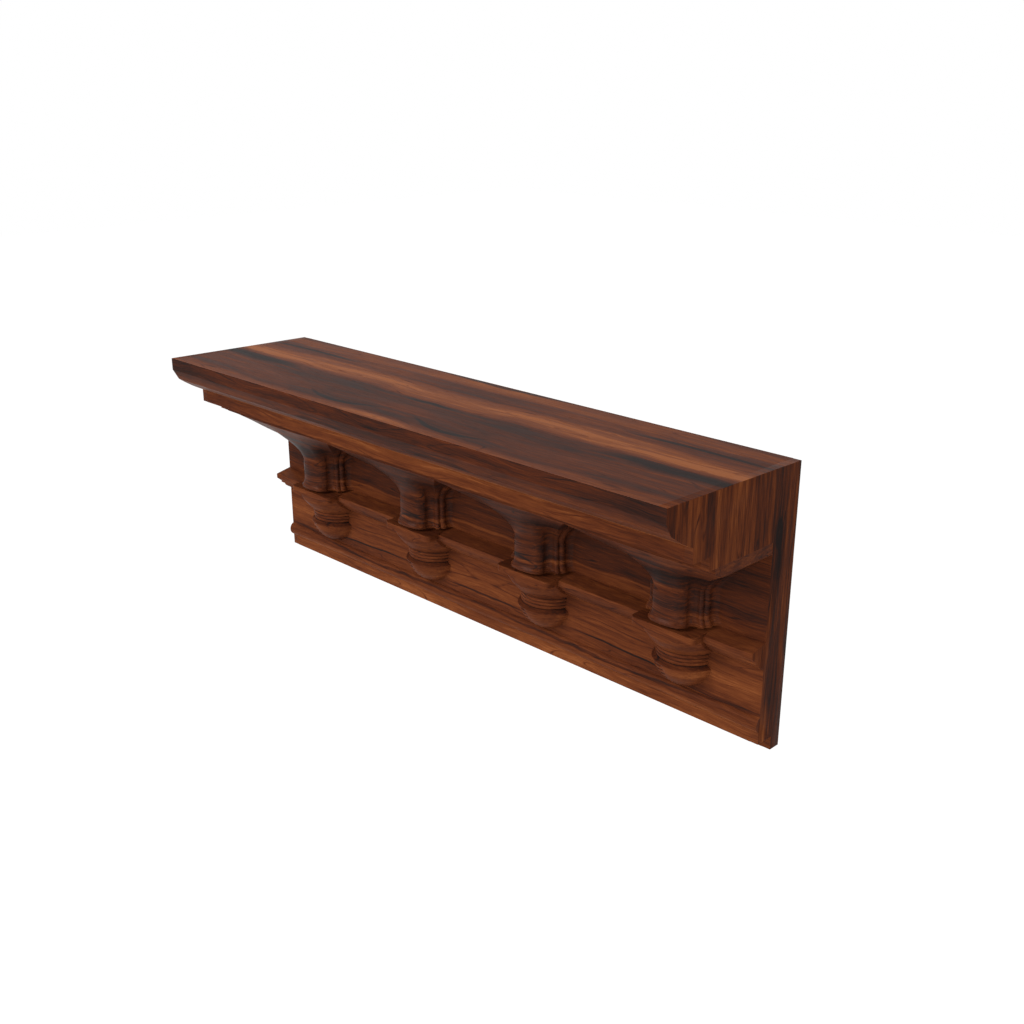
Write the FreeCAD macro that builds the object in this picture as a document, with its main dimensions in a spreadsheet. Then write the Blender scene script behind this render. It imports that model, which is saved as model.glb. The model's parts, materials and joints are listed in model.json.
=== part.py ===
import FreeCAD, Part
import Sketcher
import math
import os

# Wall shelf with a blind Gothic arcade: a raked top on a stepped cornice, carried by four half-round
# piers whose tops flare into vault fans, on a string course with corbels, over a plain frieze.
# Axes: X along the wall, -Y out of the wall, Z up. Sub-parts are drawn with Z = 0 at the lower edge
# of the back board, then set down so that the origin lies on the wall plane at the hanging height.

os.makedirs("parts", exist_ok=True)
doc = FreeCAD.newDocument("ArcadeShelf")
sheet = doc.addObject("Spreadsheet::Sheet", "Dims")

SIZES = {
    # whole shelf: length, number of piers, and the two end boards
    "shelf_length": 1000,
    "pier_count": 4,
    "end_thick": 12,
    # back board
    "back_thick": 18.5,
    # panels in front of the back board, with a loose tongue in their joint
    "panel_thick": 29.5,
    "panel_foot_rise": 19.4,
    "tongue_thick": 6,
    "tongue_width": 16,
    # bead near the foot of the frieze: its middle above the panel's foot
    "bead_lift": 28.1,
    "bead_height": 21.6,
    # string course over the frieze, part by part from its foot up; reaches are from the panel's face
    "frieze_height": 107,
    "rail_cove_height": 7.8,
    "rail_fillet_height": 2.3,
    "rail_splay_height": 3.3,
    "rail_step_height": 2.5,
    "rail_bevel_height": 7.5,
    "rail_nose_height": 7.5,
    "rail_wash_height": 5.9,
    "rail_fillet_reach": 12,
    "rail_step_reach": 19,
    "rail_nose_reach": 28,
    # pier blocks that break the string course forward
    "block_half": 51,
    "block_reach": 50,
    "block_thick": 10,
    "block_sunk": 3.7,
    "block_corner": 8,
    # pier bases: a sunk neck, a square foot and a flare up to the shaft
    "base_neck_height": 4.5,
    "base_foot_height": 3,
    "base_flare_height": 12.5,
    # clustered shafts
    "shaft_half": 54,
    "shaft_reach": 46,
    "shaft_height": 25.5,
    # vault fans
    "fan_height": 76,
    "fan_splay_height": 8,
    "fan_lip_height": 7,
    "fan_reach": 118,
    "fan_gap": 0.5,
    # ceiling board over the fans, cornice board over that
    "ceiling_step": 10,
    "ceiling_thick": 18,
    "cornice_step": 32,
    "cornice_thick": 19.5,
    # crown moulding between the cornice board and the top board
    "crown_height": 41.5,
    "crown_nose_step": 41.5,
    "crown_thick": 22,
    # top board: its upper face falls a little towards the wall
    "top_overhang": 9.5,
    "top_front_thick": 18.5,
    "top_back_thick": 14,
    # corbels: the turning axis lies behind the panel face; heights run down from the block
    "corbel_axis_back": 12,
    "corbel_inset": 1.5,
    "corbel_top_radius": 66,
    "corbel_bowl_height": 30.5,
    "corbel_ring_radius": 43.5,
    "corbel_ring_height": 5.5,
    "corbel_ring_step": 0.7,
    "corbel_ledge_height": 4.5,
    "corbel_lip_radius": 48,
    "corbel_bulb_height": 38,
    "corbel_tip_radius": 11,
    # hidden carcass between the cornice board and the top board
    "cleat_thick": 20,
    "bearer_thick": 18,
    "bearer_pitch": 250,
    # two bores through the back board and the cleat, for rods that stand out of the wall
    "bore_pitch": 760,
    "bore_radius": 6,
    # fasteners
    "screw_radius": 2,
    "screw_head_radius": 4,
    "screw_head_height": 3,
    "screw_length": 38,
    "dowel_radius": 4,
    "dowel_length": 30,
    "dowel_in_end": 8,
    "dowel_in_top": 9,
    # how far a cutting body runs past the piece that it cuts
    "overrun": 20,
}

# radius of each arc, as a share of half its chord
BEND_SHARES = {
    "bead": 1.09, "rail_cove": 3.35, "crown": 9.9, "bowl": 4.2, "ring": 1.25, "bulb": 1.9,
}
# height of the crown's nose, as a share of the crown's height
CROWN_NOSE_SHARE = 0.5976
# half of the clustered section, from the wall to its front corner: across and out as shares of the
# shaft's half width and reach, then of the fan's, then out at its lip; the bend of an arc that starts
# there and the side of its centre
SECTION_SHARES = [
    (1, 0, 1, 0, 0, 1.6, 1),
    (0.85, 0.17, 1, 0.12, 0.12, 1.15, -1),
    (0.775, 0.36, 1, 0.4, 0.4, 1.15, -1),
    (0.72, 0.49, 1, 0.84, 0.98, 1.12, 1),
    (0.5, 0.71, 0.6, 0.83, 0.99, 1.87, -1),
    (0.3, 0.96, 0.3, 0.84, 1, 4, -1),
]
# bend of the section's arcs at the fan's lip, and how the gain of a level's share slows the change
LIP_BEND_SHARE = 150
BEND_POWER_SHARE = 4
# the fan's flare: a level's height and its gain from the shaft's section to the lip's
FLARE_SHARES = [
    (0, 0), (0.16, 0.02), (0.31, 0.12), (0.46, 0.28), (0.59, 0.46), (0.75, 0.67), (0.91, 0.88), (1, 1),
]
# the base: scale of its neck on the shaft's section, and a level's height in the flare and scale
BASE_NECK_SHARE = 0.9
BASE_SHARES = [(0, 1.1), (0.3, 1.045), (0.65, 1.012), (1, 1)]

for row, (alias, value) in enumerate(SIZES.items(), start=1):
    sheet.set("A%d" % row, alias)
    sheet.set("B%d" % row, str(value))
    sheet.setAlias("B%d" % row, alias)
doc.recompute()

# lines that several pieces share, as sheet expressions
BETWEEN_ENDS = "(Dims.shelf_length - 2 * Dims.end_thick)"
PANEL_FACE = "(Dims.back_thick + Dims.panel_thick)"
PANEL_MIDDLE = "(Dims.back_thick + Dims.panel_thick / 2)"
RAIL_FOOT = "(Dims.panel_foot_rise + Dims.frieze_height)"
FILLET_FOOT = "(%s + Dims.rail_cove_height)" % RAIL_FOOT
FILLET_TOP = "(%s + Dims.rail_fillet_height)" % FILLET_FOOT
STEP_FOOT = "(%s + Dims.rail_splay_height)" % FILLET_TOP
STEP_TOP = "(%s + Dims.rail_step_height)" % STEP_FOOT
NOSE_FOOT = "(%s + Dims.rail_bevel_height)" % STEP_TOP
NOSE_TOP = "(%s + Dims.rail_nose_height)" % NOSE_FOOT
RAIL_TOP = "(%s + Dims.rail_wash_height)" % NOSE_TOP
PANEL_JOINT = "((%s + %s) / 2)" % (RAIL_FOOT, RAIL_TOP)
BEAD_FOOT = "(Dims.panel_foot_rise + Dims.bead_lift - Dims.bead_height / 2)"
BEAD_TOP = "(%s + Dims.bead_height)" % BEAD_FOOT
BLOCK_TOP = "(%s - Dims.block_sunk)" % RAIL_TOP
BLOCK_FOOT = "(%s - Dims.block_thick)" % BLOCK_TOP
BLOCK_FACE = "(%s + Dims.block_reach)" % PANEL_FACE
NECK_TOP = "(%s + Dims.base_neck_height)" % BLOCK_TOP
FOOT_TOP = "(%s + Dims.base_foot_height)" % NECK_TOP
BASE_TOP = "(%s + Dims.base_flare_height)" % FOOT_TOP
SHAFT_TOP = "(%s + Dims.shaft_height)" % BASE_TOP
FAN_SPLAY = "(%s + Dims.fan_height)" % SHAFT_TOP
FAN_LIP = "(%s + Dims.fan_splay_height)" % FAN_SPLAY
CEILING_FOOT = "(%s + Dims.fan_lip_height)" % FAN_LIP
CEILING_TOP = "(%s + Dims.ceiling_thick)" % CEILING_FOOT
CORNICE_TOP = "(%s + Dims.cornice_thick)" % CEILING_TOP
CROWN_TOP = "(%s + Dims.crown_height)" % CORNICE_TOP
CROWN_NOSE = "(%s + Dims.crown_height * %s)" % (CORNICE_TOP, CROWN_NOSE_SHARE)
CEILING_FACE = "(%s + Dims.fan_reach + Dims.ceiling_step)" % PANEL_FACE
CORNICE_FACE = "(%s + Dims.cornice_step)" % CEILING_FACE
CROWN_FACE = "(%s + Dims.crown_nose_step)" % CORNICE_FACE
TOP_FACE = "(%s + Dims.top_overhang)" % CROWN_FACE
CLEAT_FACE = "(Dims.back_thick + Dims.cleat_thick)"
CROWN_INSIDE = "(%s - Dims.crown_thick)" % CORNICE_FACE
HANG_RISE = "((%s + %s) / 2)" % (CORNICE_TOP, CROWN_TOP)
BAY = "(Dims.shelf_length / Dims.pier_count)"
HALF_BAY = "(%s / 2)" % BAY
BACK_LINE = "-Dims.back_thick"
PANEL_LINE = "-%s" % PANEL_FACE
PIERS = range(1, int(SIZES["pier_count"]) + 1)
SIDES = ((-1, "left"), (1, "right"))
UPRIGHT = FreeCAD.Rotation()
OUTWARD = FreeCAD.Rotation(FreeCAD.Vector(1, 0, 0), 90)
DOWNWARD = FreeCAD.Rotation(FreeCAD.Vector(1, 0, 0), 180)
ALONG_WALL = FreeCAD.Rotation(FreeCAD.Vector(0, 1, 0), 90)

nodes = []


def amount(expression):
    """Value of a sheet expression, as a plain number."""
    value = sheet.evalExpression(str(expression))
    return float(getattr(value, "Value", value))


def place(item, along="0", out="0", up="0", turn=UPRIGHT):
    """Turn an object and set it along the wall, out of the wall and up from the lower edge."""
    item.Placement = FreeCAD.Placement(FreeCAD.Vector(), turn)
    item.setExpression("Placement.Base.x", along)
    item.setExpression("Placement.Base.y", "-(%s)" % out)
    item.setExpression("Placement.Base.z", "%s - %s" % (up, HANG_RISE))
    return item


def keep(item, name):
    """Make the object a sub-part of the shelf under this name."""
    item.Label = name
    nodes.append(item)
    return item


def new_body(name, along="0", out="0"):
    return place(doc.addObject("PartDesign::Body", name), along, out)


def new_sketch(body, role, name, offset="0"):
    """Sketch on one of the body's origin planes, moved along that plane's normal."""
    sketch = body.newObject("Sketcher::SketchObject", name)
    plane = [feature for feature in body.Origin.OriginFeatures if feature.Role == role][0]
    sketch.AttachmentSupport = [(plane, "")]
    sketch.MapMode = "FlatFace"
    sketch.setExpression("AttachmentOffset.Base.z", offset)
    return sketch


def arc_between(start, end, radius, side):
    """Short arc; side 1 has its centre on the left of the way from start to end, -1 on the right."""
    chord = end - start
    half = chord.Length / 2
    reach = math.sqrt(max(radius * radius - half * half, 0))
    left = FreeCAD.Vector(-chord.y, chord.x, 0).normalize()
    centre = (start + end) * 0.5 + left * (reach * side)
    turns = [math.atan2(point.y - centre.y, point.x - centre.x) for point in (start, end)]
    if side < 0:
        turns.reverse()
    circle = Part.Circle(centre, FreeCAD.Vector(0, 0, 1), radius)
    return Part.ArcOfCircle(circle, turns[0], turns[1])


def bind_point(sketch, edge, end, x, y):
    """Hold one end of an edge at x and y, both given as sheet expressions."""
    for kind, axis, expression in (("DistanceX", -2, x), ("DistanceY", -1, y)):
        if expression == "0":
            sketch.addConstraint(Sketcher.Constraint("PointOnObject", edge, end, axis))
        else:
            index = sketch.addConstraint(Sketcher.Constraint(kind, edge, end, amount(expression)))
            sketch.setExpression("Constraints[%d]" % index, expression)


def bend_radius(corner, following):
    """Radius of the arc between two corners, as an expression: the bend share of half the chord."""
    chord = "sqrt((%s - (%s)) ^ 2 + (%s - (%s)) ^ 2)" % (corner[0], following[0], corner[1], following[1])
    return "%s / 2 * %s" % (corner[2], chord)


def outline(sketch, corners):
    """Closed outline. A corner is (x, y), or (x, y, bend share, side) where an arc starts there."""
    points = [FreeCAD.Vector(amount(corner[0]), amount(corner[1]), 0) for corner in corners]
    edges = []
    for index, corner in enumerate(corners):
        start = points[index]
        following = (index + 1) % len(points)
        if len(corner) == 2:
            edge = sketch.addGeometry(Part.LineSegment(start, points[following]))
            edges.append((edge, 1, 2, None))
        else:
            radius = bend_radius(corner, corners[following])
            arc = arc_between(start, points[following], amount(radius), corner[3])
            edge = sketch.addGeometry(arc)
            edges.append((edge, 1, 2, radius) if corner[3] > 0 else (edge, 2, 1, radius))
    for index, (edge, first, last, radius) in enumerate(edges):
        following = edges[(index + 1) % len(edges)]
        sketch.addConstraint(Sketcher.Constraint("Coincident", edge, last, following[0], following[1]))
    for (edge, first, last, radius), corner in zip(edges, corners):
        bind_point(sketch, edge, first, corner[0], corner[1])
        if radius:
            index = sketch.addConstraint(Sketcher.Constraint("Radius", edge, amount(radius)))
            sketch.setExpression("Constraints[%d]" % index, radius)
    return sketch


def rectangle(sketch, x0, x1, y0, y1):
    return outline(sketch, [(x0, y0), (x1, y0), (x1, y1), (x0, y1)])


def pad(body, sketch, length, side_type="One side"):
    feature = body.newObject("PartDesign::Pad", sketch.Name + "_pad")
    feature.Profile = sketch
    feature.setExpression("Length", length)
    feature.SideType = side_type
    return feature


def pocket(body, sketch, length, side_type="One side"):
    """Pocket that must take something off the body."""
    doc.recompute()
    before = body.Shape.Volume
    feature = body.newObject("PartDesign::Pocket", sketch.Name + "_pocket")
    feature.Profile = sketch
    feature.setExpression("Length", length)
    feature.SideType = side_type
    doc.recompute()
    if body.Shape.Volume >= before:
        raise ValueError("%s cuts nothing" % feature.Name)
    return feature


def revolve(body, sketch, angle):
    """Turn about the sketch's upright axis, the way that sweeps out of the wall."""
    feature = body.newObject("PartDesign::Revolution", sketch.Name + "_turn")
    feature.Profile = sketch
    feature.ReferenceAxis = (sketch, ["V_Axis"])
    feature.Angle = angle
    feature.Reversed = True
    return feature


def loft(body, levels, name):
    """Smooth body through a stack of sketches that have the same number of edges."""
    doc.recompute()
    feature = body.newObject("PartDesign::AdditiveLoft", name)
    feature.Profile = levels[0]
    feature.Sections = levels[1:]
    return feature


def strip(name, corners):
    """Strip between the end boards; its section's corners are (-depth, rise)."""
    body = new_body(name)
    sketch = new_sketch(body, "YZ_Plane", name + "_section")
    outline(sketch, corners)
    pad(body, sketch, BETWEEN_ENDS, "Symmetric")
    return body


def board(name, back, front, foot, head):
    """Rectangular strip between two depths and two rises."""
    return strip(name, [("-" + back, foot), ("-" + front, foot), ("-" + front, head), ("-" + back, head)])


def cut(name, base, tools):
    """Base less each tool in turn, as one object."""
    for number, tool in enumerate(tools, start=1):
        step = doc.addObject("Part::Cut", "%s_cut_%d" % (name, number))
        step.Base = base
        step.Tool = tool
        base = step
    return base


def group(name, items):
    """Equal small pieces kept in one object."""
    bundle = doc.addObject("Part::Compound", name)
    bundle.Links = items
    return bundle


def pier_middle(pier):
    return "((%d - 0.5) * %s - Dims.shelf_length / 2)" % (pier, BAY)


def screw(name, along, out, up, turn):
    """Countersunk screw: its head's face is at the given place, and its shank runs along the turned Z."""
    head = doc.addObject("Part::Cone", name + "_head")
    head.setExpression("Radius1", "Dims.screw_head_radius")
    head.setExpression("Radius2", "Dims.screw_radius")
    head.setExpression("Height", "Dims.screw_head_height")
    shank = doc.addObject("Part::Cylinder", name + "_shank")
    shank.setExpression("Radius", "Dims.screw_radius")
    shank.setExpression("Height", "Dims.screw_length")
    whole = doc.addObject("Part::Fuse", name)
    whole.Base = head
    whole.Tool = shank
    return place(whole, along, out, up, turn)


def rod(name, radius, length, along, out, up, turn):
    """Cylinder that starts at the given place and runs along the turned Z."""
    pin = doc.addObject("Part::Cylinder", name)
    pin.setExpression("Radius", radius)
    pin.setExpression("Height", length)
    return place(pin, along, out, up, turn)


# section outlines that the strips share with the end boards, as (-depth, rise), going up
BEAD_OUTLINE = [(PANEL_LINE, BEAD_FOOT, BEND_SHARES["bead"], -1), (PANEL_LINE, BEAD_TOP)]
FILLET_LINE = "-(%s + Dims.rail_fillet_reach)" % PANEL_FACE
STEP_LINE = "-(%s + Dims.rail_step_reach)" % PANEL_FACE
NOSE_LINE = "-(%s + Dims.rail_nose_reach)" % PANEL_FACE
RAIL_OUTLINE = [
    (PANEL_LINE, RAIL_FOOT, BEND_SHARES["rail_cove"], -1), (FILLET_LINE, FILLET_FOOT),
    (FILLET_LINE, FILLET_TOP), (STEP_LINE, STEP_FOOT),
    (STEP_LINE, STEP_TOP), (NOSE_LINE, NOSE_FOOT),
    (NOSE_LINE, NOSE_TOP), (PANEL_LINE, RAIL_TOP),
]
CROWN_OUTLINE = [
    ("-" + CORNICE_FACE, CORNICE_TOP, BEND_SHARES["crown"], -1),
    ("-" + CROWN_FACE, CROWN_NOSE), ("-" + TOP_FACE, CROWN_TOP),
]
TOP_OUTLINE = [
    ("-" + TOP_FACE, "%s + Dims.top_front_thick" % CROWN_TOP),
    ("0", "%s + Dims.top_back_thick" % CROWN_TOP),
]

# back screws: through the back board into the two panels, behind each pier
screws = []
for pier in PIERS:
    for level, foot, head in (("low", "Dims.panel_foot_rise", PANEL_JOINT),
                              ("high", PANEL_JOINT, CEILING_FOOT)):
        screws.append(screw("back_screw_%s_%d" % (level, pier), pier_middle(pier), "0",
                            "(%s + %s) / 2" % (foot, head), OUTWARD))
back_screws = keep(group("back_screw_set", screws), "back_screws")

# fan screws: down through the ceiling board, two into each fan
screws = []
for pier in PIERS:
    for side, word in SIDES:
        screws.append(screw("fan_screw_%s_%d" % (word, pier),
                            "%s + %d * Dims.shaft_half / 2" % (pier_middle(pier), side),
                            "%s + Dims.fan_reach / 2" % PANEL_FACE, CEILING_TOP, DOWNWARD))
fan_screws = keep(group("fan_screw_set", screws), "fan_screws")

# end dowels: from each end board into the cornice board and the two panels
END_INSIDE = "(Dims.shelf_length / 2 - Dims.end_thick)"
CORNICE_LEVEL = "(%s + Dims.cornice_thick / 2)" % CEILING_TOP
DOWEL_PLACES = [
    (CROWN_INSIDE, CORNICE_LEVEL),
    (CORNICE_FACE + " / 2", CORNICE_LEVEL),
    (PANEL_MIDDLE, "%s - Dims.panel_thick" % CEILING_FOOT),
    (PANEL_MIDDLE, "%s + Dims.panel_thick" % PANEL_JOINT),
    (PANEL_MIDDLE, "%s - Dims.panel_thick" % PANEL_JOINT),
    (PANEL_MIDDLE, "Dims.panel_foot_rise + Dims.panel_thick"),
]
DOWEL_STARTS = {
    "left": "-%s - Dims.dowel_in_end" % END_INSIDE,
    "right": "%s + Dims.dowel_in_end - Dims.dowel_length" % END_INSIDE,
}
end_dowels = {}
for word, start in DOWEL_STARTS.items():
    dowels = []
    for number, (out, up) in enumerate(DOWEL_PLACES, start=1):
        dowels.append(rod("end_dowel_%s_%d" % (word, number), "Dims.dowel_radius",
                          "Dims.dowel_length", start, out, up, ALONG_WALL))
    end_dowels[word] = keep(group("end_dowel_set_" + word, dowels), "end_dowels_" + word)

# top dowels: upright in the bearers, their heads in the top board
BEARERS = {"left": -1, "middle": 0, "right": 1}
dowels = []
for word, side in BEARERS.items():
    for row, out in (("back", "%s + Dims.cleat_thick" % CLEAT_FACE),
                     ("front", "%s - Dims.crown_thick" % CROWN_INSIDE)):
        dowels.append(rod("top_dowel_%s_%s" % (row, word), "Dims.dowel_radius", "Dims.dowel_length",
                          "%d * Dims.bearer_pitch" % side, out,
                          "%s + Dims.dowel_in_top - Dims.dowel_length" % CROWN_TOP, UPRIGHT))
top_dowels = keep(group("top_dowel_set", dowels), "top_dowels")

# hanging bores, through the back board and the cleat
bores = []
for side, word in SIDES:
    bores.append(rod("hanging_bore_" + word, "Dims.bore_radius", "%s + 2 * Dims.overrun" % CLEAT_FACE,
                     "%d * Dims.bore_pitch / 2" % side, "-Dims.overrun", HANG_RISE, OUTWARD))

# back board and rear cleat
back_blank = board("back_blank", "0", "Dims.back_thick", "0", CROWN_TOP)
keep(cut("back_board", back_blank, [back_screws] + bores), "back_board")
cleat_blank = board("cleat_blank", "Dims.back_thick", CLEAT_FACE, CORNICE_TOP, CROWN_TOP)
keep(cut("rear_cleat", cleat_blank, bores), "rear_cleat")

# arcade panel above, frieze panel below, each grooved for half of the loose tongue
TONGUE_BACK = "-(%s - Dims.tongue_thick / 2)" % PANEL_MIDDLE
TONGUE_FRONT = "-(%s + Dims.tongue_thick / 2)" % PANEL_MIDDLE
TONGUE_HEAD = "(%s + Dims.tongue_width / 2)" % PANEL_JOINT
TONGUE_FOOT = "(%s - Dims.tongue_width / 2)" % PANEL_JOINT
for name, far_rise, groove in (("arcade_panel", CEILING_FOOT, TONGUE_HEAD),
                               ("frieze_panel", "Dims.panel_foot_rise", TONGUE_FOOT)):
    blank = strip(name + "_blank", [
        (BACK_LINE, PANEL_JOINT), (TONGUE_BACK, PANEL_JOINT),
        (TONGUE_BACK, groove), (TONGUE_FRONT, groove),
        (TONGUE_FRONT, PANEL_JOINT), (PANEL_LINE, PANEL_JOINT),
        (PANEL_LINE, far_rise), (BACK_LINE, far_rise)])
    keep(cut(name, blank, [back_screws, end_dowels["left"], end_dowels["right"]]), name)
keep(strip("tongue", [(TONGUE_BACK, TONGUE_FOOT), (TONGUE_FRONT, TONGUE_FOOT),
                      (TONGUE_FRONT, TONGUE_HEAD), (TONGUE_BACK, TONGUE_HEAD)]), "panel_tongue")

# string course and foot bead
rail = keep(strip("rail", RAIL_OUTLINE), "string_course")
bead = keep(strip("bead", BEAD_OUTLINE), "foot_bead")


def section(scale, gain, spread=0):
    """Corners of the clustered section, its flat back on the panel's face: the shaft's section at
    gain 0 and this scale, the top of the fan's flare at gain 1, its lip at gain and spread 1."""
    right = []
    for across, out, fan_across, fan_out, lip_out, bend, side in SECTION_SHARES:
        level_out = fan_out + (lip_out - fan_out) * spread
        level_bend = bend + (LIP_BEND_SHARE - bend) * gain ** BEND_POWER_SHARE
        right.append((
            "(Dims.shaft_half * %.6f + (%s - Dims.fan_gap) * %.6f)" % (
                across * scale * (1 - gain), HALF_BAY, fan_across * gain),
            "-(Dims.shaft_reach * %.6f + Dims.fan_reach * %.6f)" % (
                out * scale * (1 - gain), level_out * gain),
            level_bend, side))
    right[0] = (right[0][0], "0") + right[0][2:]
    corners = list(right)
    for index in range(len(right) - 1, -1, -1):
        bend = right[index - 1][2:] if index else ()
        corners.append(("-" + right[index][0], right[index][1]) + bend)
    return corners


# what stands on each pier's middle line, from the corbel up to the fan
CORBEL_RINGS = 3
BOWL_FOOT = "(%s - Dims.corbel_bowl_height)" % BLOCK_FOOT
RINGS_FOOT = "(%s - %d * Dims.corbel_ring_height)" % (BOWL_FOOT, CORBEL_RINGS)
CORBEL_LIP = "(%s - Dims.corbel_ledge_height)" % RINGS_FOOT
CORBEL_TIP = "(%s - Dims.corbel_bulb_height)" % CORBEL_LIP
for pier in PIERS:
    along = pier_middle(pier)

    body = new_body("corbel_turned_%d" % pier, along, "%s - Dims.corbel_axis_back" % PANEL_FACE)
    side = new_sketch(body, "XZ_Plane", "corbel_side_%d" % pier)
    corners = [("0", CORBEL_TIP), ("0", BLOCK_FOOT),
               ("Dims.corbel_top_radius", BLOCK_FOOT, BEND_SHARES["bowl"], -1)]
    for ring in range(CORBEL_RINGS + 1):
        bend = (BEND_SHARES["ring"], -1) if ring < CORBEL_RINGS else ()
        corners.append(("(Dims.corbel_ring_radius - %d * Dims.corbel_ring_step)" % ring,
                        "(%s - %d * Dims.corbel_ring_height)" % (BOWL_FOOT, ring)) + bend)
    corners.append(("Dims.corbel_lip_radius", CORBEL_LIP, BEND_SHARES["bulb"], -1))
    corners.append(("Dims.corbel_tip_radius", CORBEL_TIP))
    outline(side, corners)
    revolve(body, side, 360)
    frame = new_body("corbel_frame_%d" % pier, along)
    plan = new_sketch(frame, "XY_Plane", "corbel_frame_plan_%d" % pier)
    reach = "(Dims.block_half - Dims.corbel_inset)"
    rectangle(plan, "-" + reach, reach, "-(%s - Dims.corbel_inset)" % BLOCK_FACE, PANEL_LINE)
    pad(frame, plan, BLOCK_TOP)
    trimmed = doc.addObject("Part::Common", "corbel_trimmed_%d" % pier)
    trimmed.Base = body
    trimmed.Tool = frame
    keep(cut("corbel_%d" % pier, trimmed, [rail, bead]), "corbel_%d" % pier)

    body = new_body("block_blank_%d" % pier, along)
    plan = new_sketch(body, "XY_Plane", "block_plan_%d" % pier, BLOCK_FOOT)
    straight_half = "(Dims.block_half - Dims.block_corner)"
    straight_line = "-(%s - Dims.block_corner)" % BLOCK_FACE
    quarter = math.sqrt(2)
    outline(plan, [
        ("Dims.block_half", PANEL_LINE), ("-Dims.block_half", PANEL_LINE),
        ("-Dims.block_half", straight_line, quarter, 1), ("-" + straight_half, "-" + BLOCK_FACE),
        (straight_half, "-" + BLOCK_FACE, quarter, 1), ("Dims.block_half", straight_line)])
    pad(body, plan, "Dims.block_thick")
    keep(cut("pier_block_%d" % pier, body, [rail]), "pier_block_%d" % pier)

    body = new_body("base_blank_%d" % pier, along, PANEL_FACE)
    plan = new_sketch(body, "XY_Plane", "base_neck_%d" % pier, BLOCK_TOP)
    pad(body, outline(plan, section(BASE_NECK_SHARE, 0)), "Dims.base_neck_height")
    plan = new_sketch(body, "XY_Plane", "base_foot_%d" % pier, NECK_TOP)
    pad(body, outline(plan, section(BASE_SHARES[0][1], 0)), "Dims.base_foot_height")
    levels = []
    for level, (height_share, scale) in enumerate(BASE_SHARES, start=1):
        rise = "%s + %s * Dims.base_flare_height" % (FOOT_TOP, height_share)
        plan = new_sketch(body, "XY_Plane", "base_plan_%d_%d" % (pier, level), rise)
        levels.append(outline(plan, section(scale, 0)))
    loft(body, levels, "base_flare_%d" % pier)
    keep(cut("pier_base_%d" % pier, body, [rail]), "pier_base_%d" % pier)

    body = new_body("shaft_blank_%d" % pier, along, PANEL_FACE)
    plan = new_sketch(body, "XY_Plane", "shaft_plan_%d" % pier, BASE_TOP)
    pad(body, outline(plan, section(1, 0)), "Dims.shaft_height")
    keep(body, "shaft_%d" % pier)

    body = new_body("fan_blank_%d" % pier, along, PANEL_FACE)
    levels = []
    for level, (height_share, gain) in enumerate(FLARE_SHARES, start=1):
        rise = "%s + %s * Dims.fan_height" % (SHAFT_TOP, height_share)
        plan = new_sketch(body, "XY_Plane", "fan_plan_%d_%d" % (pier, level), rise)
        levels.append(outline(plan, section(1, gain)))
    loft(body, levels, "fan_flare_%d" % pier)
    levels = []
    for word, rise, spread in (("foot", FAN_SPLAY, 0), ("head", FAN_LIP, 1)):
        plan = new_sketch(body, "XY_Plane", "fan_splay_%s_%d" % (word, pier), rise)
        levels.append(outline(plan, section(1, 1, spread)))
    loft(body, levels, "fan_splay_%d" % pier)
    plan = new_sketch(body, "XY_Plane", "fan_lip_%d" % pier, FAN_LIP)
    pad(body, outline(plan, section(1, 1, 1)), "Dims.fan_lip_height")
    keep(cut("fan_%d" % pier, body, [fan_screws]), "fan_%d" % pier)

# ceiling board and cornice board
ceiling_blank = board("ceiling_blank", "Dims.back_thick", CEILING_FACE, CEILING_FOOT, CEILING_TOP)
keep(cut("ceiling_board", ceiling_blank, [fan_screws]), "ceiling_board")
cornice_blank = board("cornice_blank", "Dims.back_thick", CORNICE_FACE, CEILING_TOP, CORNICE_TOP)
keep(cut("cornice_board", cornice_blank, [end_dowels["left"], end_dowels["right"]]), "cornice_board")

# crown moulding, bearers and top board
keep(strip("crown", CROWN_OUTLINE + [("-" + CROWN_INSIDE, CROWN_TOP),
                                     ("-" + CROWN_INSIDE, CORNICE_TOP)]), "crown_moulding")
for word, side in BEARERS.items():
    body = new_body("bearer_blank_" + word, "%d * Dims.bearer_pitch" % side)
    profile = new_sketch(body, "YZ_Plane", "bearer_section_" + word)
    rectangle(profile, "-" + CROWN_INSIDE, "-" + CLEAT_FACE, CORNICE_TOP, CROWN_TOP)
    pad(body, profile, "Dims.bearer_thick", "Symmetric")
    keep(cut("bearer_" + word, body, [top_dowels]), "bearer_" + word)
top_blank = strip("top_blank", [("0", CROWN_TOP), ("-" + TOP_FACE, CROWN_TOP)] + TOP_OUTLINE)
keep(cut("top_board", top_blank, [top_dowels]), "top_board")

# end boards, sawn to the outline of what runs between them
END_OUTLINE = [("0", "0"), (BACK_LINE, "0"), (BACK_LINE, "Dims.panel_foot_rise"),
               (PANEL_LINE, "Dims.panel_foot_rise")]
END_OUTLINE += BEAD_OUTLINE + RAIL_OUTLINE
END_OUTLINE += [(PANEL_LINE, CEILING_FOOT), ("-" + CEILING_FACE, CEILING_FOOT),
                ("-" + CEILING_FACE, CEILING_TOP), ("-" + CORNICE_FACE, CEILING_TOP)]
END_OUTLINE += CROWN_OUTLINE + TOP_OUTLINE
for side, word in SIDES:
    body = new_body("end_blank_" + word, "%d * (Dims.shelf_length - Dims.end_thick) / 2" % side)
    profile = new_sketch(body, "YZ_Plane", "end_section_" + word)
    outline(profile, END_OUTLINE)
    pad(body, profile, "Dims.end_thick", "Symmetric")
    keep(cut("end_board_" + word, body, [end_dowels[word]]), "end_board_" + word)

doc.recompute()

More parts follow.
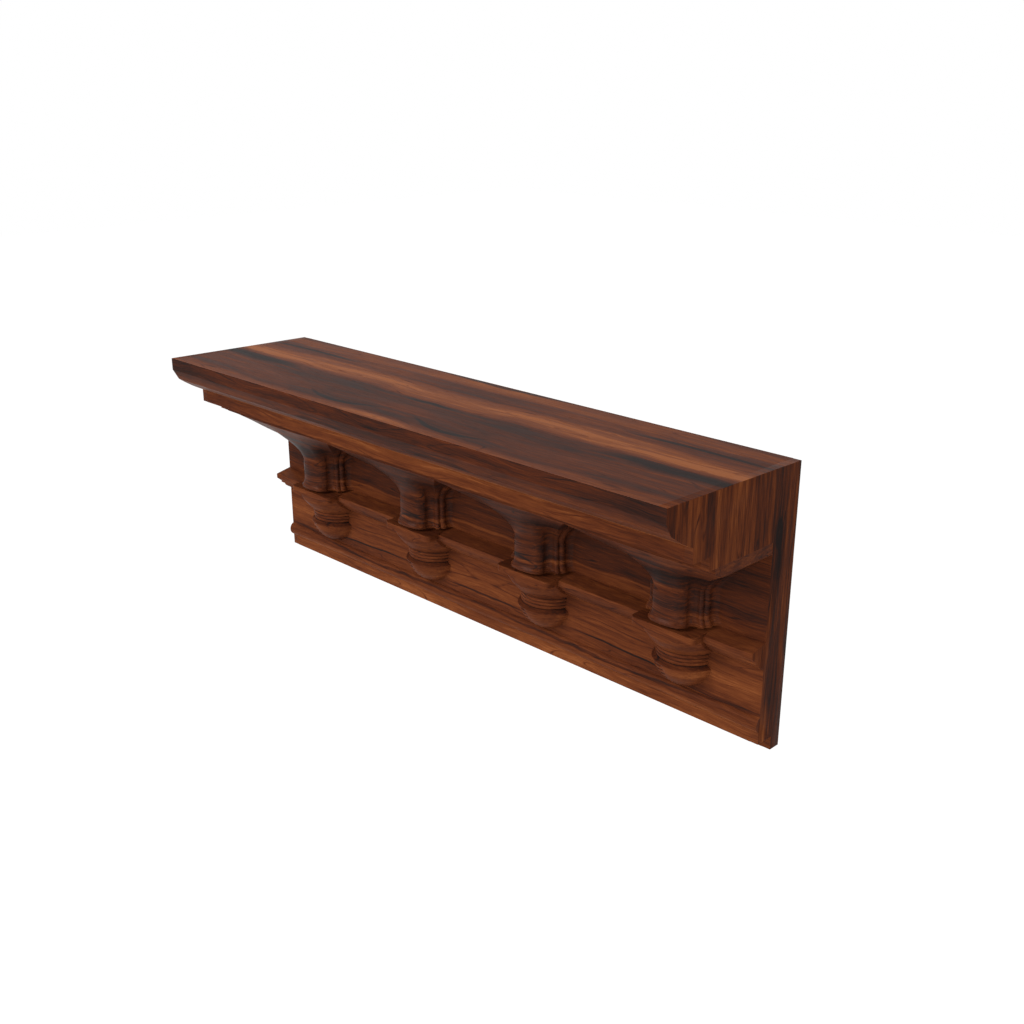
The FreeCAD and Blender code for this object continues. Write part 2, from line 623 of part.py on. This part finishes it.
faults = [item.Name for item in doc.Objects if "Invalid" in item.State or "Error" in item.State]
faults += [item.Label for item in nodes if item.Shape.isNull() or not item.Shape.isValid()]
if faults:
    raise ValueError("unsound objects: %s" % ", ".join(faults))

for item in nodes:
    item.Shape.exportStep("parts/%s.step" % item.Label)
    box = item.Shape.optimalBoundingBox()
    print("%-18s solids %d volume %9.0f  x %.1f..%.1f  y %.1f..%.1f  z %.1f..%.1f" % (
        item.Label, len(item.Shape.Solids), item.Shape.Volume,
        box.XMin, box.XMax, box.YMin, box.YMax, box.ZMin, box.ZMax))
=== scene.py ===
import json
import math

import bmesh
import bpy
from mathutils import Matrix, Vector


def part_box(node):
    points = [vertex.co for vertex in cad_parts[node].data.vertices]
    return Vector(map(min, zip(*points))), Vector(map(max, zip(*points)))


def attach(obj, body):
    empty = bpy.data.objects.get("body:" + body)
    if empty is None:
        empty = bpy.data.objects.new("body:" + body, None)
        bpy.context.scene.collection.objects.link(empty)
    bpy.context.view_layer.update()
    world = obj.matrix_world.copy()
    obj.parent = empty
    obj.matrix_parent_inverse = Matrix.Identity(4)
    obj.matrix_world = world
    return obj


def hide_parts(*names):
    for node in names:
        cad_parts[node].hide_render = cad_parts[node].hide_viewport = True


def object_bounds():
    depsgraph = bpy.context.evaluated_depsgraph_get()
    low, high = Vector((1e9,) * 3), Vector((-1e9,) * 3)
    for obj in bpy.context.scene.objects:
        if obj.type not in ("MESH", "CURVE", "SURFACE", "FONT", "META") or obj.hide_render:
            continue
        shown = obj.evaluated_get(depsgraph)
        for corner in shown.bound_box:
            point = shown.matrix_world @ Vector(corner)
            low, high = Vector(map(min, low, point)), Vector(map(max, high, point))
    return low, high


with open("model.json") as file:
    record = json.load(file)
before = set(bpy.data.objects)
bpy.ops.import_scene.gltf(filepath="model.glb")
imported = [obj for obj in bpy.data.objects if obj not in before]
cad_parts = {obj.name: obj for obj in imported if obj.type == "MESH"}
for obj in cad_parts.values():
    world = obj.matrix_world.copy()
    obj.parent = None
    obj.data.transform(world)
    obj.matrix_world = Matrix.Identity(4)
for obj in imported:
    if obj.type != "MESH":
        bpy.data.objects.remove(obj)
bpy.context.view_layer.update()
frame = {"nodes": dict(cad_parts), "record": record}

nodes = frame["nodes"]
low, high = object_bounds()
print("frame loaded:", len(nodes), "nodes")


# shader sockets that can be used in sums
class Wire:
    def __init__(self, tree, socket=None):
        self.tree = tree
        self.socket = socket

    def node(self, kind, settings, inputs, output=0):
        made = self.tree.nodes.new(kind)
        for key, value in settings.items():
            if key == "stops":
                stops = made.color_ramp.elements
                while len(stops) < len(value):
                    stops.new(1.0)
                for stop, (place, paint) in zip(stops, value):
                    stop.position = place
                    stop.color = paint if isinstance(paint, tuple) else (paint, paint, paint, 1)
            else:
                setattr(made, key, value)
        for key, value in inputs.items():
            if isinstance(value, Wire):
                self.tree.links.new(value.socket, made.inputs[key])
            else:
                made.inputs[key].default_value = value
        return Wire(self.tree, made.outputs[output]) if len(made.outputs) else None

    def sum(self, operation, first, second=0.0):
        return self.node("ShaderNodeMath", {"operation": operation}, {0: first, 1: second})

    def size(self):
        return self.sum("ABSOLUTE", self)

    def part(self):
        return self.sum("FRACT", self)

    def __add__(self, other):
        return self.sum("ADD", self, other)

    def __sub__(self, other):
        return self.sum("SUBTRACT", self, other)

    def __mul__(self, other):
        return self.sum("MULTIPLY", self, other)

    def __truediv__(self, other):
        return self.sum("DIVIDE", self, other)

    def __radd__(self, other):
        return self.sum("ADD", other, self)

    def __rsub__(self, other):
        return self.sum("SUBTRACT", other, self)

    def __rmul__(self, other):
        return self.sum("MULTIPLY", other, self)


def newPaint(name):
    material = bpy.data.materials.new(name)
    material.use_nodes = True
    material.node_tree.nodes.clear()
    return material, Wire(material.node_tree)


def placeInWood(start):
    place = start.node("ShaderNodeTexCoord", {}, {}, "Object")
    return {axis: place.node("ShaderNodeSeparateXYZ", {}, {0: place}, axis) for axis in "XYZ"}


def grainNoise(wire, along, across, deep, detail=3.0, rough=0.55):
    place = wire.node("ShaderNodeCombineXYZ", {}, {0: along, 1: across, 2: deep})
    cloud = wire.node("ShaderNodeTexNoise", {"noise_dimensions": "3D"},
                      {"Vector": place, "Scale": 1.0, "Detail": detail, "Roughness": rough}, "Fac")
    return cloud - 0.5


def fade(wire, start, end, first=0.0, last=1.0):
    return wire.node("ShaderNodeMapRange", {"interpolation_type": "SMOOTHSTEP"}, {
        "Value": wire, "From Min": start, "From Max": end, "To Min": first, "To Max": last})


def blendPaint(wire, share, first, second):
    return wire.node("ShaderNodeMix", {"data_type": "RGBA"}, {0: share, 6: first, 7: second}, 2)


walnut = {
    "palette": [  # from ink to the lightest streak
        (0.00, (0.016, 0.010, 0.009, 1)),
        (0.20, (0.038, 0.0135, 0.009, 1)),
        (0.42, (0.076, 0.020, 0.009, 1)),
        (0.62, (0.122, 0.032, 0.0115, 1)),
        (0.82, (0.178, 0.050, 0.016, 1)),
        (1.00, (0.270, 0.085, 0.027, 1)),
    ],
    "pore": (0.020, 0.011, 0.009, 1),
    "poreShare": 0.35,
    "shine": 0.015,
    "roughness": 0.40,
    "grain": 0.12,
    "shineRubbed": 0.035,  # the shafts are rubbed brighter
    "roughnessRubbed": 0.28,
    "grainRubbed": 0.03,
    "roughByStreak": 0.25,
    "roughByPore": 0.2,
    "relief": 0.5,
    "reliefHeight": 0.0003,
    "bending": 1.45,  # index of refraction of the wax
}

# noises in the wood: cycles per metre along and across the grain, detail, roughness, and how far
# the cut's seed is shifted, if it counts
woodNoises = {
    "slow": (2.6, 5.0, 2.0, 0.55, 0.0),
    "quick": (9.0, 26.0, 3.0, 0.60, 0.0),
    "cloud": (3.4, 34.0, 3.0, 0.60, 3.7),
    "streak": (8.0, 150.0, 4.0, 0.66, 6.1),
    "fibre": (34.0, 900.0, 2.0, 0.60, None),
    "rings": (1.9, 15.0, 2.0, 0.50, 8.3),
    "pore": (70.0, 1700.0, 1.0, 0.55, None),
}
figure = {
    "deep": 0.35,        # how fast the figure changes into the board, next to across it
    "ringBend": 11.0,    # contour veins: how far noise bends them and how many a metre holds
    "ringCount": 26.0,
    "veinWidth": 0.06,
    "veinBreak": (-0.08, 0.10),
    "poreEdge": (0.15, 0.24),
}

# each cut of the log: bands run from the lower to the upper edge, 0 dark and 1 light. A stroke is
# place along, place across, half length, half width, bow and strength, in metres. A shade line, painted
# shade in a turned line or under a ledge, is place across, half width and strength
topCut = {
    "along": "X", "across": "Y", "deep": "Z", "zero": low.y, "span": high.y - low.y,
    "matched": True, "seed": 1.0, "shadeLines": [],
    "drift": 0.040, "wave": 0.010, "cloud": 0.9, "streak": 0.9, "fibre": 0.55, "vein": 0.30,
    "bands": [(0.0, 0.82), (0.05, 0.68), (0.09, 0.36), (0.22, 0.38), (0.36, 0.30), (0.44, 0.36),
              (0.50, 0.74), (0.60, 0.94), (0.68, 0.66), (0.72, 0.38), (0.82, 0.36), (0.87, 0.64),
              (0.95, 0.70), (1.0, 0.50)],
    "strokes": [(0.00, 0.114, 0.060, 0.006, -0.9, -0.45), (0.00, 0.060, 0.14, 0.030, 0.0, 0.12),
                (0.11, 0.028, 0.090, 0.006, 3.2, -0.45), (0.44, 0.105, 0.16, 0.016, 0.0, -0.35),
                (0.40, 0.205, 0.15, 0.006, -0.4, -0.40), (0.46, 0.140, 0.17, 0.012, 0.0, 0.30),
                (0.00, 0.248, 0.16, 0.006, 0.3, -0.50), (0.00, 0.012, 0.10, 0.010, 0.0, 0.25)],
}
frontCut = {
    "along": "X", "across": "Z", "deep": "Y", "zero": low.z, "span": high.z - low.z,
    "matched": True, "seed": 4.0, "shadeLines": [],
    "drift": 0.030, "wave": 0.010, "cloud": 0.8, "streak": 0.8, "fibre": 0.70, "vein": 0.34,
    # bands 0.85 to 0.93 are the ovolo: its wood tone with painted light added, as its downward face gets less
    # of the lamps
    "bands": [(0.0, 0.66), (0.10, 0.70), (0.14, 0.56), (0.20, 0.62), (0.27, 0.58), (0.34, 0.60),
              (0.41, 0.58), (0.45, 0.40), (0.52, 0.34), (0.64, 0.32), (0.72, 0.42), (0.77, 0.58),
              (0.82, 0.60), (0.85, 0.72), (0.88, 0.62), (0.93, 0.48), (0.955, 0.26), (1.0, 0.22)],
    "strokes": [(0.27, 0.0745, 0.110, 0.0022, -0.3, -0.60), (0.00, 0.0730, 0.120, 0.0022, -0.4, -0.50),
                (0.20, 0.0500, 0.300, 0.0025, 0.2, -0.40), (0.44, 0.0640, 0.090, 0.0050, 0.5, -0.30),
                (0.00, 0.1800, 0.600, 0.0030, 0.0, 0.30), (0.00, 0.2350, 0.055, 0.0260, 6.0, -0.28),
                (0.30, 0.3400, 0.450, 0.0050, 0.0, 0.40), (0.12, 0.3600, 0.130, 0.0060, -0.6, -0.35),
                (0.40, 0.2300, 0.120, 0.0160, 0.0, -0.20), (0.44, 0.1000, 0.120, 0.0200, 0.0, 0.15)],
}
endCut = {
    "along": "Z", "across": "Y", "deep": "X", "zero": low.y, "span": high.y - low.y,
    "matched": False, "seed": 9.0, "shadeLines": [],
    "drift": 0.018, "wave": 0.006, "cloud": 0.9, "streak": 1.5, "fibre": 0.80, "vein": 0.55,
    "bands": [(0.0, 0.45), (0.06, 0.34), (0.12, 0.55), (0.28, 0.60), (0.32, 0.34), (0.36, 0.62),
              (0.42, 0.44), (0.48, 0.64), (0.64, 0.60), (0.67, 0.36), (0.72, 0.52), (0.80, 0.54),
              (0.84, 0.34), (0.92, 0.32), (1.0, 0.40)],
    "strokes": [(-0.05, 0.224, 0.026, 0.010, 0.0, -0.45), (-0.05, 0.224, 0.012, 0.004, 0.0, 0.35),
                (-0.05, 0.225, 0.090, 0.020, 0.0, -0.15), (-0.32, 0.222, 0.050, 0.014, 0.0, 0.35)],
}
shaftCut = dict(frontCut, streak=1.25, vein=0.48)
corbelCut = dict(
    frontCut, carved=-0.42,  # painted shade in the valleys between the scallops
    # painted shade lines: the quirk under the block's nose, the turned rings and the ledge below them
    shadeLines=[(0.1490, 0.0012, -0.40), (0.1190, 0.0012, -0.32), (0.1135, 0.0012, -0.32),
             (0.1080, 0.0012, -0.32), (0.1024, 0.0014, -0.38), (0.1000, 0.0045, -0.28)])


def woodNoise(start, kind, cut, along, across, deep):
    length, width, detail, rough, shift = woodNoises[kind]
    place = along * length
    if shift is not None:
        place = place + (cut["seed"] + shift)
    return grainNoise(start, place, across * width, deep * width, detail, rough)


def sawFigure(start, cut):
    split = placeInWood(start)
    along = split[cut["along"]]
    if cut["matched"]:
        along = along.size()
    across = split[cut["across"]] - cut["zero"]
    deep = split[cut["deep"]] * figure["deep"]
    slow = woodNoise(start, "slow", cut, along, across, deep)
    quick = woodNoise(start, "quick", cut, along, across, deep)
    bent = across + slow * cut["drift"] + quick * cut["wave"]
    band = bent.node("ShaderNodeValToRGB", {"stops": cut["bands"]}, {0: bent / cut["span"]})
    tone = band.node("ShaderNodeSeparateColor", {}, {0: band})
    cloud = woodNoise(start, "cloud", cut, along, bent, deep)
    streak = woodNoise(start, "streak", cut, along, bent, deep)
    fibre = woodNoise(start, "fibre", cut, along, bent, deep)
    tone = tone + cloud * cut["cloud"] + streak * cut["streak"] + fibre * cut["fibre"]
    rings = woodNoise(start, "rings", cut, along, bent, deep)
    rings = (rings * figure["ringBend"] + bent * figure["ringCount"]).part() - 0.5
    vein = fade(rings.size(), 0.0, figure["veinWidth"], 1.0, 0.0) * fade(streak, *figure["veinBreak"])
    tone = tone - vein * cut["vein"]
    for spot, line, length, width, bow, strength in cut["strokes"]:
        away = (along - spot) / length
        off = (bent - line - (along - spot) * (along - spot) * bow) / width
        tone = tone + fade(away * away + off * off, 0.0, 1.0, strength, 0.0)
    # the shade lines darken the tone as painted shade
    for line, width, strength in cut["shadeLines"]:
        tone = tone + fade((across - line).size(), 0.0, width, strength, 0.0)
    # painted shade in the carved valleys, read from the share kept on the mesh
    if "carved" in cut:
        stain = start.node("ShaderNodeAttribute", {"attribute_name": "stain"}, {}, "Fac")
        tone = tone + stain * cut["carved"]
    pore = fade(woodNoise(start, "pore", cut, along, across, deep), *figure["poreEdge"])
    return tone, streak, fibre, pore


def finishWalnut(start, rubbed, tone, streak, fibre, pore):
    paint = tone.node("ShaderNodeValToRGB", {"stops": walnut["palette"]}, {0: tone})
    paint = blendPaint(start, pore * walnut["poreShare"], paint, walnut["pore"])
    polish = {key: walnut[key] + (walnut[key + "Rubbed"] - walnut[key]) * rubbed
              for key in ("shine", "roughness", "grain")}
    rough = polish["roughness"] + streak * walnut["roughByStreak"] + pore * walnut["roughByPore"]
    height = fibre * walnut["relief"] + streak * walnut["relief"] - pore * walnut["relief"]
    grain = start.node("ShaderNodeBump", {}, {
        "Strength": polish["grain"], "Distance": walnut["reliefHeight"], "Height": height})
    shader = start.node("ShaderNodeBsdfPrincipled", {}, {
        "Base Color": paint, "Roughness": rough, "Normal": grain, "IOR": walnut["bending"],
        "Specular IOR Level": polish["shine"]})
    start.node("ShaderNodeOutputMaterial", {}, {0: shader})


def walnutFace(name, cut, rubbed=0.0):
    material, start = newPaint(name)
    finishWalnut(start, rubbed, *sawFigure(start, cut))
    return material


# a board that shows its top, front and end: each face has the figure of its own cut
boardFaces = {
    "top": (0.55, 0.80),       # how far a face looks up before it counts as top
    "end": (0.60, 0.80),
    "topDepth": (0.03, 0.02),  # below the shelf's highest level
}


def walnutBoard(name):
    material, start = newPaint(name)
    facing = start.node("ShaderNodeTexCoord", {}, {}, "Normal")
    upward = facing.node("ShaderNodeSeparateXYZ", {}, {0: facing}, "Z")
    sideways = facing.node("ShaderNodeSeparateXYZ", {}, {0: facing}, "X").size()
    level = placeInWood(start)["Z"]
    onTop = fade(upward, *boardFaces["top"]) * fade(level, *[high.z - drop for drop in boardFaces["topDepth"]])
    onEnd = fade(sideways, *boardFaces["end"])
    onFront = (1.0 - onTop) * (1.0 - onEnd)
    kept = [part * onTop for part in sawFigure(start, topCut)]
    for weight, cut in ((onEnd, endCut), (onFront, frontCut)):
        kept = [part + more * weight for part, more in zip(kept, sawFigure(start, cut))]
    finishWalnut(start, 0.0, *kept)
    return material


frontWalnut = walnutFace("front walnut", frontCut)
boardWalnut = walnutBoard("board walnut")
shaftWalnut = walnutFace("shaft walnut", shaftCut, 1.0)
fanWalnut = walnutFace("fan walnut", shaftCut, 0.3)
corbelWalnut = walnutFace("corbel walnut", corbelCut)

# plain inner woods: cycles per metre along the grain, and how much finer the fibres are across it
plain = {"wideAlong": 3.0, "fineAlong": 25.0, "finer": 14, "blend": (-0.2, 0.25), "fineShare": 0.5,
         "roughness": 0.62, "roughByFine": 0.2, "grain": 0.15, "reliefHeight": 0.0003, "shine": 0.3}


def plainWood(name, light, dark, scale):
    material, start = newPaint(name)
    split = placeInWood(start)
    fineScale = scale * plain["finer"]
    wide = grainNoise(start, split["X"] * plain["wideAlong"], split["Y"] * scale, split["Z"] * scale, 3.0)
    fine = grainNoise(start, split["X"] * plain["fineAlong"], split["Y"] * fineScale,
                      split["Z"] * fineScale, 2.0)
    share = fade(wide + fine * plain["fineShare"], *plain["blend"])
    grain = start.node("ShaderNodeBump", {}, {
        "Strength": plain["grain"], "Distance": plain["reliefHeight"], "Height": fine})
    shader = start.node("ShaderNodeBsdfPrincipled", {}, {
        "Base Color": blendPaint(start, share, light, dark), "Normal": grain,
        "Roughness": plain["roughness"] + fine * plain["roughByFine"], "Specular IOR Level": plain["shine"]})
    start.node("ShaderNodeOutputMaterial", {}, {0: shader})
    return material


steel = {"light": (0.60, 0.60, 0.62, 1), "dark": (0.42, 0.42, 0.43, 1), "spots": 900.0,
         "roughness": 0.28, "roughBySpot": 0.2}


def screwSteel(name):
    material, start = newPaint(name)
    place = start.node("ShaderNodeTexCoord", {}, {}, "Object")
    spots = start.node("ShaderNodeTexNoise", {}, {
        "Vector": place, "Scale": steel["spots"], "Detail": 3.0}, "Fac")
    shader = start.node("ShaderNodeBsdfPrincipled", {}, {
        "Base Color": blendPaint(start, spots, steel["light"], steel["dark"]), "Metallic": 1.0,
        "Roughness": steel["roughness"] + spots * steel["roughBySpot"]})
    start.node("ShaderNodeOutputMaterial", {}, {0: shader})
    return material


finishes = {
    "walnut": frontWalnut,
    "carcass_wood": plainWood("bearer wood", (0.40, 0.26, 0.14, 1), (0.27, 0.16, 0.08, 1), 60.0),
    "beech": plainWood("dowel beech", (0.52, 0.35, 0.21, 1), (0.40, 0.25, 0.14, 1), 120.0),
    "steel": screwSteel("zinc steel"),
}
print("materials made:", len(bpy.data.materials))

for part in frame["record"]["subparts"]:
    finish = finishes[part["material_slot"]]
    if part["node"].startswith(("shaft_", "pier_base_")):
        finish = shaftWalnut
    elif part["node"].startswith("fan_") and part["material_slot"] == "walnut":
        finish = fanWalnut
    for slot in nodes[part["node"]].material_slots:
        slot.material = finish

mergeWithin = 0.000002


def mergedCopy(node):
    shape = bmesh.new()
    shape.from_mesh(nodes[node].data)
    bmesh.ops.remove_doubles(shape, verts=shape.verts, dist=mergeWithin)
    return shape


def placePiece(name, shape, node, finish, crease):
    mesh = bpy.data.meshes.new(name)
    shape.to_mesh(mesh)
    shape.free()
    mesh.materials.append(finish)
    mesh.shade_smooth()
    mesh.set_sharp_from_angle(angle=math.radians(crease))
    piece = bpy.data.objects.new(name, mesh)
    bpy.context.scene.collection.objects.link(piece)
    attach(piece, "root")
    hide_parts(node)


# boards and mouldings with their arrises taken off by a stroke of sandpaper
easing = {
    "boards": {"top_board": boardWalnut, "end_board_left": boardWalnut, "end_board_right": boardWalnut,
               "crown_moulding": frontWalnut, "cornice_board": frontWalnut, "ceiling_board": frontWalnut,
               "string_course": frontWalnut, "foot_bead": frontWalnut, "pier_block_1": frontWalnut,
               "pier_block_2": frontWalnut, "pier_block_3": frontWalnut, "pier_block_4": frontWalnut},
    "width": 0.0005,
    "segments": 2,
    "flat": 0.3,         # degrees below which two faces are one
    "sharpFrom": 24,     # degrees between two faces that make an arris
    "shortest": 0.004,
    "seam": 0.488,       # the end boards are glued on here and stay flush
    "seamWidth": 0.0002,
    "crease": 35,        # degrees
}
for name, finish in easing["boards"].items():
    shape = mergedCopy(name)
    bmesh.ops.dissolve_limit(shape, angle_limit=math.radians(easing["flat"]),
                             verts=shape.verts, edges=shape.edges)
    arrises = []
    for edge in shape.edges:
        onSeam = all(abs(abs(vert.co.x) - easing["seam"]) < easing["seamWidth"] for vert in edge.verts)
        if len(edge.link_faces) == 2 and edge.is_convex and not onSeam:
            sharp = edge.calc_face_angle() > math.radians(easing["sharpFrom"])
            if sharp and edge.calc_length() > easing["shortest"]:
                arrises.append(edge)
    bmesh.ops.bevel(shape, geom=arrises, offset=easing["width"], offset_type="OFFSET", affect="EDGES",
                    segments=easing["segments"], profile=0.5, material=-1, clamp_overlap=True)
    placePiece(name + "_eased", shape, name, finish, easing["crease"])
print("arrises eased on", len(easing["boards"]), "pieces")

# corbels with scallops cut down the left flank of the bulb
corbelCarving = {
    "count": 4,
    "bulb": 0.038,      # height of the bulb above its tip
    "cuts": 44,
    "scallop": 0.0062,  # height of one scallop
    "slant": 0.0078,    # how far a scallop falls over one radian towards the wall
    "depth": 0.0026,
    "from": 0.08,       # share of the way from the front to the left flank where the carving starts
    "ramp": 0.25,       # share over which it reaches its full depth
    "runOut": 0.004,    # height at the bulb's foot and top where the carving dies away
    "core": 0.004,      # no carving nearer to the middle of the corbel's back
    "crease": 18,       # degrees
}
for number in range(1, corbelCarving["count"] + 1):
    name = "corbel_%d" % number
    lowest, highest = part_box(name)
    middle = (lowest[0] + highest[0]) / 2
    wall = highest[1]
    shape = mergedCopy(name)
    for cut in range(1, corbelCarving["cuts"]):
        level = lowest[2] + corbelCarving["bulb"] * cut / corbelCarving["cuts"]
        bmesh.ops.bisect_plane(shape, geom=shape.verts[:] + shape.edges[:] + shape.faces[:],
                               plane_co=(0, 0, level), plane_no=(0, 0, 1), dist=0.0000001)
    stain = shape.verts.layers.float.new("stain")
    for vert in shape.verts:
        rise = vert.co.z - lowest[2]
        aside, out = vert.co.x - middle, vert.co.y - wall
        reach = math.hypot(aside, out)
        if rise < corbelCarving["bulb"] and reach > corbelCarving["core"]:
            flank = min(max((-aside / reach - corbelCarving["from"]) / corbelCarving["ramp"], 0.0), 1.0)
            slant = corbelCarving["slant"] * math.atan2(-aside, -out)
            notch = 1 - abs(math.sin(math.pi * (rise + slant) / corbelCarving["scallop"]))
            edge = min(rise / corbelCarving["runOut"],
                       (corbelCarving["bulb"] - rise) / corbelCarving["runOut"], 1.0)
            # the valley share both deepens the cut and is kept for the painted shade
            vert[stain] = flank * notch * edge
            keep = 1 - corbelCarving["depth"] * vert[stain] / reach
            vert.co.x = middle + aside * keep
            vert.co.y = wall + out * keep
    placePiece(name + "_carved", shape, name, corbelWalnut, corbelCarving["crease"])
print("corbels carved:", corbelCarving["count"])

# camera at the photograph's angle
view = {"place": (1.24982, -1.24052, 0.48094), "tilt": 70, "turn": 45, "lens": 43.327, "sensor": 36}
cameraData = bpy.data.cameras.new("camera")
cameraData.lens = view["lens"]
cameraData.sensor_width = view["sensor"]
camera = bpy.data.objects.new("camera", cameraData)
camera.location = view["place"]
camera.rotation_euler = (math.radians(view["tilt"]), 0, math.radians(view["turn"]))
bpy.context.scene.collection.objects.link(camera)
bpy.context.scene.camera = camera

# studio: pale floor, white backdrop and soft lamps
studio = {
    "floorDrop": 0.9,
    "floorSize": 12,
    "floorWhite": 0.85,  # the rest of the floor's look keeps the shadow
    "floorGlow": 1.15,
    "floorMatt": (0.8, 0.8, 0.8, 1),
    "white": (1, 1, 1, 1),
    "worldLevel": 0.35,
    "lamps": {  # place, size and power
        "key": ((-1.6, -3.0, 2.0), 1.8, 92),
        "front": ((1.0, -3.2, -0.2), 2.5, 27),
        "side": ((3.2, -1.2, 1.0), 1.6, 26),
        "top": ((0.0, -0.6, 3.2), 2.0, 36),
    },
}
floorMesh = bpy.data.meshes.new("floor")
sheet = bmesh.new()
bmesh.ops.create_grid(sheet, x_segments=1, y_segments=1, size=studio["floorSize"])
bmesh.ops.translate(sheet, verts=sheet.verts, vec=(0, 0, low.z - studio["floorDrop"]))
sheet.to_mesh(floorMesh)
sheet.free()
floor = bpy.data.objects.new("floor", floorMesh)
bpy.context.scene.collection.objects.link(floor)


def backdropRays(start):
    rays = [start.node("ShaderNodeLightPath", {}, {}, "Is %s Ray" % kind) for kind in ("Camera", "Glossy")]
    return rays[0].sum("MAXIMUM", rays[0], rays[1])


floorPaint, start = newPaint("floor paint")
white = start.node("ShaderNodeEmission", {}, {"Color": studio["white"], "Strength": studio["floorGlow"]})
matt = start.node("ShaderNodeBsdfDiffuse", {}, {"Color": studio["floorMatt"]})
both = start.node("ShaderNodeMixShader", {}, {
    0: backdropRays(start) * studio["floorWhite"], 1: matt, 2: white})
start.node("ShaderNodeOutputMaterial", {}, {0: both})
floorMesh.materials.append(floorPaint)

for name, (spot, size, power) in studio["lamps"].items():
    lampData = bpy.data.lights.new(name, "AREA")
    lampData.size = size
    lampData.energy = power
    lamp = bpy.data.objects.new(name, lampData)
    lamp.location = spot
    lamp.rotation_euler = (Vector(spot) * -1).to_track_quat("-Z", "Y").to_euler()
    bpy.context.scene.collection.objects.link(lamp)

world = bpy.data.worlds.new("studio")
bpy.context.scene.world = world
world.use_nodes = True
world.node_tree.nodes.clear()
start = Wire(world.node_tree)
level = backdropRays(start) * (1.0 - studio["worldLevel"]) + studio["worldLevel"]
light = start.node("ShaderNodeBackground", {}, {"Color": studio["white"], "Strength": level})
start.node("ShaderNodeOutputWorld", {}, {0: light})
bpy.context.scene.view_settings.view_transform = "Standard"
print("studio set")
